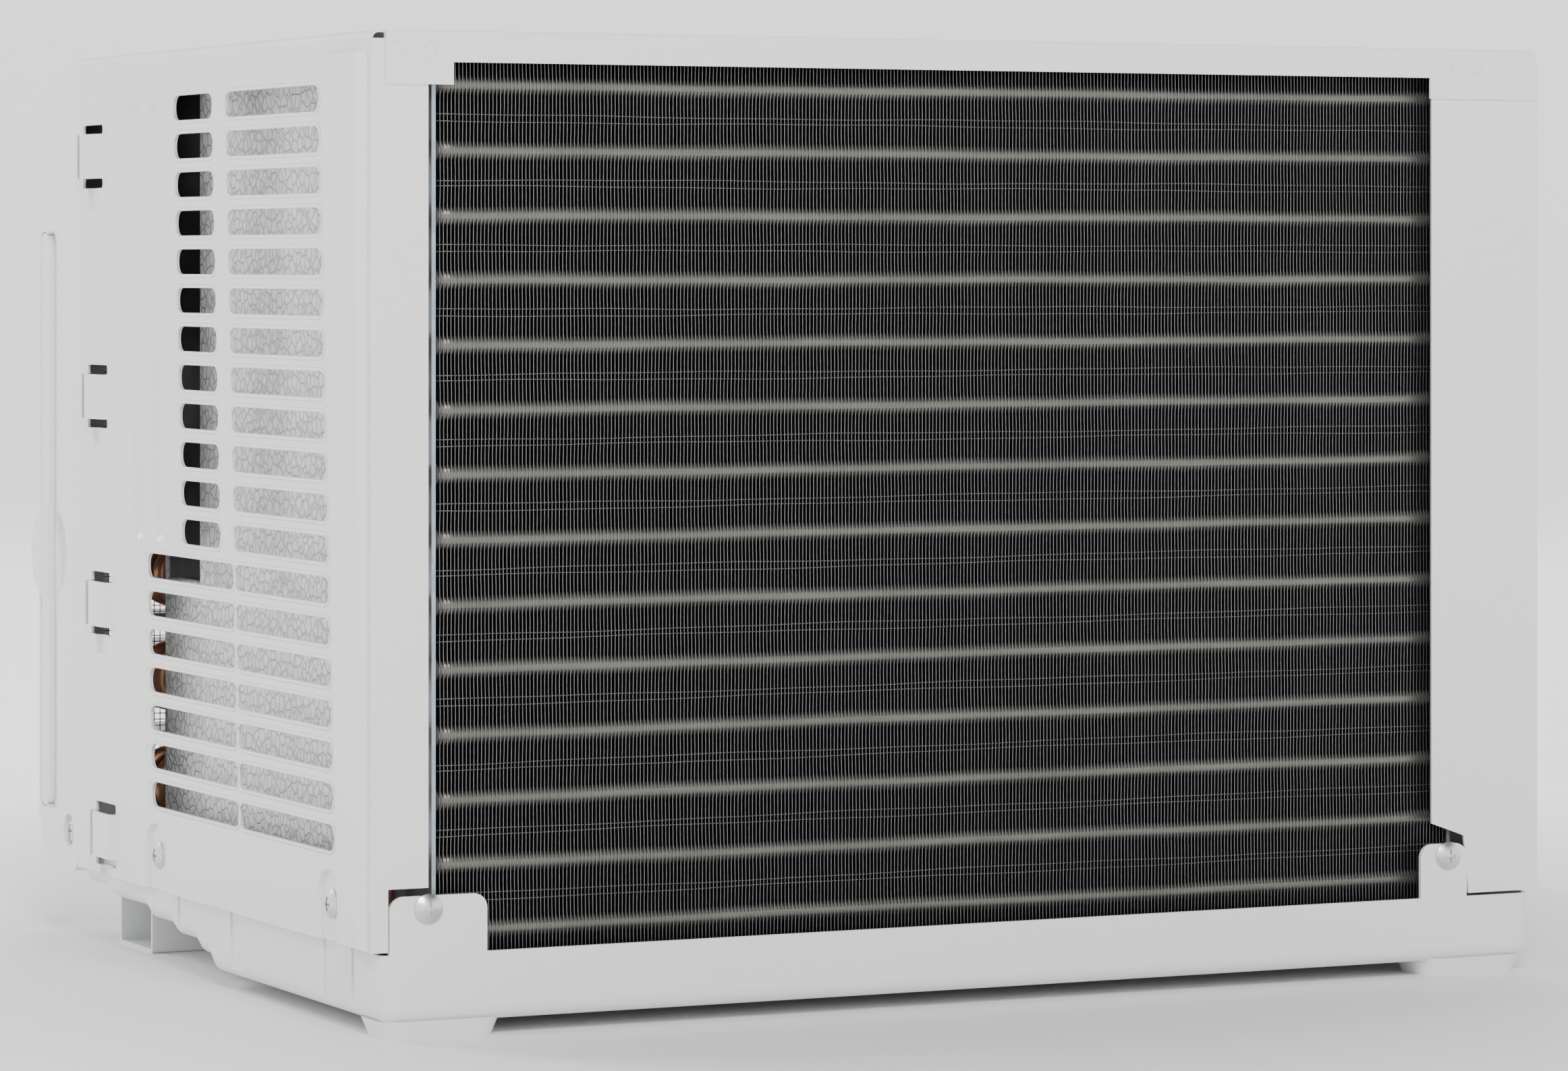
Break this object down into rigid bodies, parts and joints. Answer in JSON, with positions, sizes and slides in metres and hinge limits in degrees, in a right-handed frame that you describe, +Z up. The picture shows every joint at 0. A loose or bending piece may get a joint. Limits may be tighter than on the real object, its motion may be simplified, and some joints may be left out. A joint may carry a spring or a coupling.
{
  "type": "window air conditioner",
  "caption": "Room air conditioner for a window opening: louvred steel case on a base pan, outdoor coil at the rear, plastic front with slide-out filter, turning louvres and push buttons.",
  "frame": {"origin": "on the standing surface, under the middle of the case", "axes": "+Z up, -Y towards the room, +Y outdoors, +X to the right seen from the room"},
  "size_m": [0.477, 0.4, 0.346],
  "materials": {
    "painted_white": "semi-gloss white powder coat",
    "painted_channel": "semi-gloss white powder coat",
    "zinc": "bright zinc plating",
    "fin_aluminium": "thin coated fin stock",
    "copper": "drawn copper tube",
    "galvanised": "galvanised sheet",
    "foam_white": "moulded bead foam",
    "dark_plastic": "satin moulding",
    "black_paint": "satin black paint",
    "black_rubber": "matte",
    "white_plastic": "fine satin moulding",
    "display": "smoked window",
    "board_green": "solder-masked board",
    "filter_net": "woven nylon net",
    "capacitor_can": "drawn can",
    "button_grey": "satin moulding"
  },
  "bodies": {
    "chassis": {"base_pan": "painted_white", "support_channel": "painted_channel", "side_screws": "zinc", "rear_screws": "zinc", "frame_screws": "zinc", "cabinet_wrap": "painted_white", "condenser_fins": "fin_aluminium", "condenser_tubes": "copper", "condenser_plates": "galvanised", "evaporator_fins": "fin_aluminium", "evaporator_tubes": "copper", "evaporator_plates": "galvanised", "fan_shroud": "foam_white", "scroll_housing": "dark_plastic", "scroll_cover": "foam_white", "fan_motor": "galvanised", "motor_bracket": "galvanised", "compressor": "black_paint", "compressor_grommets": "black_rubber", "compressor_studs": "zinc", "terminal_cover": "dark_plastic", "accumulator": "black_paint", "discharge_pipe": "copper", "suction_pipe": "copper", "liquid_pipe": "copper", "filter_drier": "copper", "capillary_tube": "copper", "front_frame": "white_plastic", "front_grille": "white_plastic", "control_panel": "white_plastic", "display_window": "display", "display_board": "board_green", "outlet_duct": "dark_plastic", "control_box": "galvanised", "circuit_board": "board_green", "run_capacitor": "capacitor_can", "cord_bush": "black_rubber", "room_sensor": "dark_plastic"},
    "fan_rotor": {"motor_shaft": "zinc", "blower_wheel": "dark_plastic", "condenser_fan": "dark_plastic"},
    "filter": {"filter_frame": "white_plastic", "filter_mesh": "filter_net"},
    "louvre_1": {"louvre_1": "white_plastic"},
    "louvre_2": {"louvre_2": "white_plastic"},
    "louvre_3": {"louvre_3": "white_plastic"},
    "vane_1": {"vane_1": "dark_plastic"},
    "vane_2": {"vane_2": "dark_plastic"},
    "vane_3": {"vane_3": "dark_plastic"},
    "vane_4": {"vane_4": "dark_plastic"},
    "vane_5": {"vane_5": "dark_plastic"},
    "vane_6": {"vane_6": "dark_plastic"},
    "vane_link_left": {"vane_link_left": "dark_plastic"},
    "vane_link_right": {"vane_link_right": "dark_plastic"},
    "button_power": {"button_power": "button_grey"},
    "button_mode": {"button_mode": "button_grey"},
    "button_fan": {"button_fan": "button_grey"},
    "button_cooler": {"button_cooler": "button_grey"},
    "button_warmer": {"button_warmer": "button_grey"},
    "button_timer": {"button_timer": "button_grey"}
  },
  "joints": [
    {"name": "fan_spin", "type": "hinge", "parent": "chassis", "child": "fan_rotor", "pos_m": [0.0735, 0.05, 0.1461], "axis": [0, 1, 0], "continuous": true},
    {"name": "filter_slide", "type": "slide", "parent": "chassis", "child": "filter", "axis": [1, 0, 0], "range_m": [0, 0.47]},
    {"name": "louvre_1_tilt", "type": "hinge", "parent": "chassis", "child": "louvre_1", "pos_m": [-0.05225, -0.178, 0.272], "axis": [1, 0, 0], "range_deg": [-30, 30]},
    {"name": "louvre_2_tilt", "type": "hinge", "parent": "chassis", "child": "louvre_2", "pos_m": [-0.05225, -0.178, 0.288], "axis": [1, 0, 0], "range_deg": [-30, 30]},
    {"name": "louvre_3_tilt", "type": "hinge", "parent": "chassis", "child": "louvre_3", "pos_m": [-0.05225, -0.178, 0.304], "axis": [1, 0, 0], "range_deg": [-30, 30]},
    {"name": "vane_1_swing", "type": "hinge", "parent": "chassis", "child": "vane_1", "pos_m": [-0.17371, -0.14, 0.288], "axis": [0, 0, 1], "range_deg": [-35, 35]},
    {"name": "vane_2_swing", "type": "hinge", "parent": "chassis", "child": "vane_2", "pos_m": [-0.12512, -0.14, 0.288], "axis": [0, 0, 1], "range_deg": [-35, 35]},
    {"name": "vane_3_swing", "type": "hinge", "parent": "chassis", "child": "vane_3", "pos_m": [-0.07654, -0.14, 0.288], "axis": [0, 0, 1], "range_deg": [-35, 35]},
    {"name": "vane_4_swing", "type": "hinge", "parent": "chassis", "child": "vane_4", "pos_m": [-0.02796, -0.14, 0.288], "axis": [0, 0, 1], "range_deg": [-35, 35]},
    {"name": "vane_5_swing", "type": "hinge", "parent": "chassis", "child": "vane_5", "pos_m": [0.02063, -0.14, 0.288], "axis": [0, 0, 1], "range_deg": [-35, 35]},
    {"name": "vane_6_swing", "type": "hinge", "parent": "chassis", "child": "vane_6", "pos_m": [0.06921, -0.14, 0.288], "axis": [0, 0, 1], "range_deg": [-35, 35]},
    {"name": "link_left_slide", "type": "slide", "parent": "chassis", "child": "vane_link_left", "axis": [1, 0, 0], "range_m": [-0.0054, 0.0054]},
    {"name": "link_right_slide", "type": "slide", "parent": "chassis", "child": "vane_link_right", "axis": [1, 0, 0], "range_m": [-0.0054, 0.0054]},
    {"name": "power_press", "type": "slide", "parent": "chassis", "child": "button_power", "axis": [0, 1, 0], "range_m": [0, 0.001], "stiffness_N_per_m": 500},
    {"name": "mode_press", "type": "slide", "parent": "chassis", "child": "button_mode", "axis": [0, 1, 0], "range_m": [0, 0.001], "stiffness_N_per_m": 500},
    {"name": "fan_press", "type": "slide", "parent": "chassis", "child": "button_fan", "axis": [0, 1, 0], "range_m": [0, 0.001], "stiffness_N_per_m": 500},
    {"name": "cooler_press", "type": "slide", "parent": "chassis", "child": "button_cooler", "axis": [0, 1, 0], "range_m": [0, 0.001], "stiffness_N_per_m": 500},
    {"name": "warmer_press", "type": "slide", "parent": "chassis", "child": "button_warmer", "axis": [0, 1, 0], "range_m": [0, 0.001], "stiffness_N_per_m": 500},
    {"name": "timer_press", "type": "slide", "parent": "chassis", "child": "button_timer", "axis": [0, 1, 0], "range_m": [0, 0.001], "stiffness_N_per_m": 500}
  ],
  "couplings": [
    {"joint": "louvre_2_tilt", "follows": "louvre_1_tilt", "ratio": 1},
    {"joint": "louvre_3_tilt", "follows": "louvre_1_tilt", "ratio": 1},
    {"joint": "vane_1_swing", "follows": "link_left_slide", "rad_per_m": -111.11},
    {"joint": "vane_2_swing", "follows": "link_left_slide", "rad_per_m": -111.11},
    {"joint": "vane_3_swing", "follows": "link_left_slide", "rad_per_m": -111.11},
    {"joint": "vane_4_swing", "follows": "link_right_slide", "rad_per_m": -111.11},
    {"joint": "vane_5_swing", "follows": "link_right_slide", "rad_per_m": -111.11},
    {"joint": "vane_6_swing", "follows": "link_right_slide", "rad_per_m": -111.11}
  ]
}
